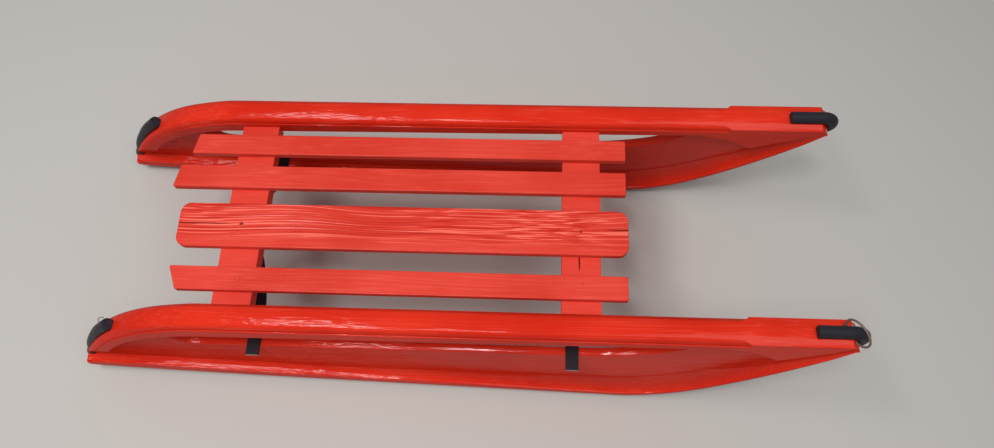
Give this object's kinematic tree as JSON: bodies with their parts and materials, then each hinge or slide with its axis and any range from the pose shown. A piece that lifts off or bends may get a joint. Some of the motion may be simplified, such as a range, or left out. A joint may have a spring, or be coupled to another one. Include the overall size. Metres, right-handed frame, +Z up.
{
  "type": "wooden sled with iron-shod plank runners",
  "caption": "Old red-painted wooden sled with deep plank runners, hand slots, lengthwise seat slats, iron bows, round iron shoes and a wire tow ring.",
  "frame": {"origin": "centre of the bounding box on the ground, under the runners' shoes", "axes": "+X forward to the upturned tips, +Y to the sled's left, +Z up"},
  "size_m": [0.9944, 0.3604, 0.3011],
  "materials": {
    "red_enamel": "thick glossy red enamel brushed over open-grained wood, chipped and cracked along the grain",
    "black_iron": "black round iron, worn and faintly rusty",
    "strap_iron": "dark flat iron strap with old paint and bright cut ends",
    "rusty_wire": "rust-brown steel wire"
  },
  "bodies": {
    "root": {"runner_left": "red_enamel", "runner_right": "red_enamel", "shoe_left": "black_iron", "shoe_right": "black_iron", "crossbar_rear": "red_enamel", "crossbar_front": "red_enamel", "slat_left_outer": "red_enamel", "slat_left_inner": "red_enamel", "slat_wide": "red_enamel", "slat_right": "red_enamel", "bow_rear": "strap_iron", "bow_front": "strap_iron", "tow_ring": "rusty_wire"}
  },
  "joints": []
}
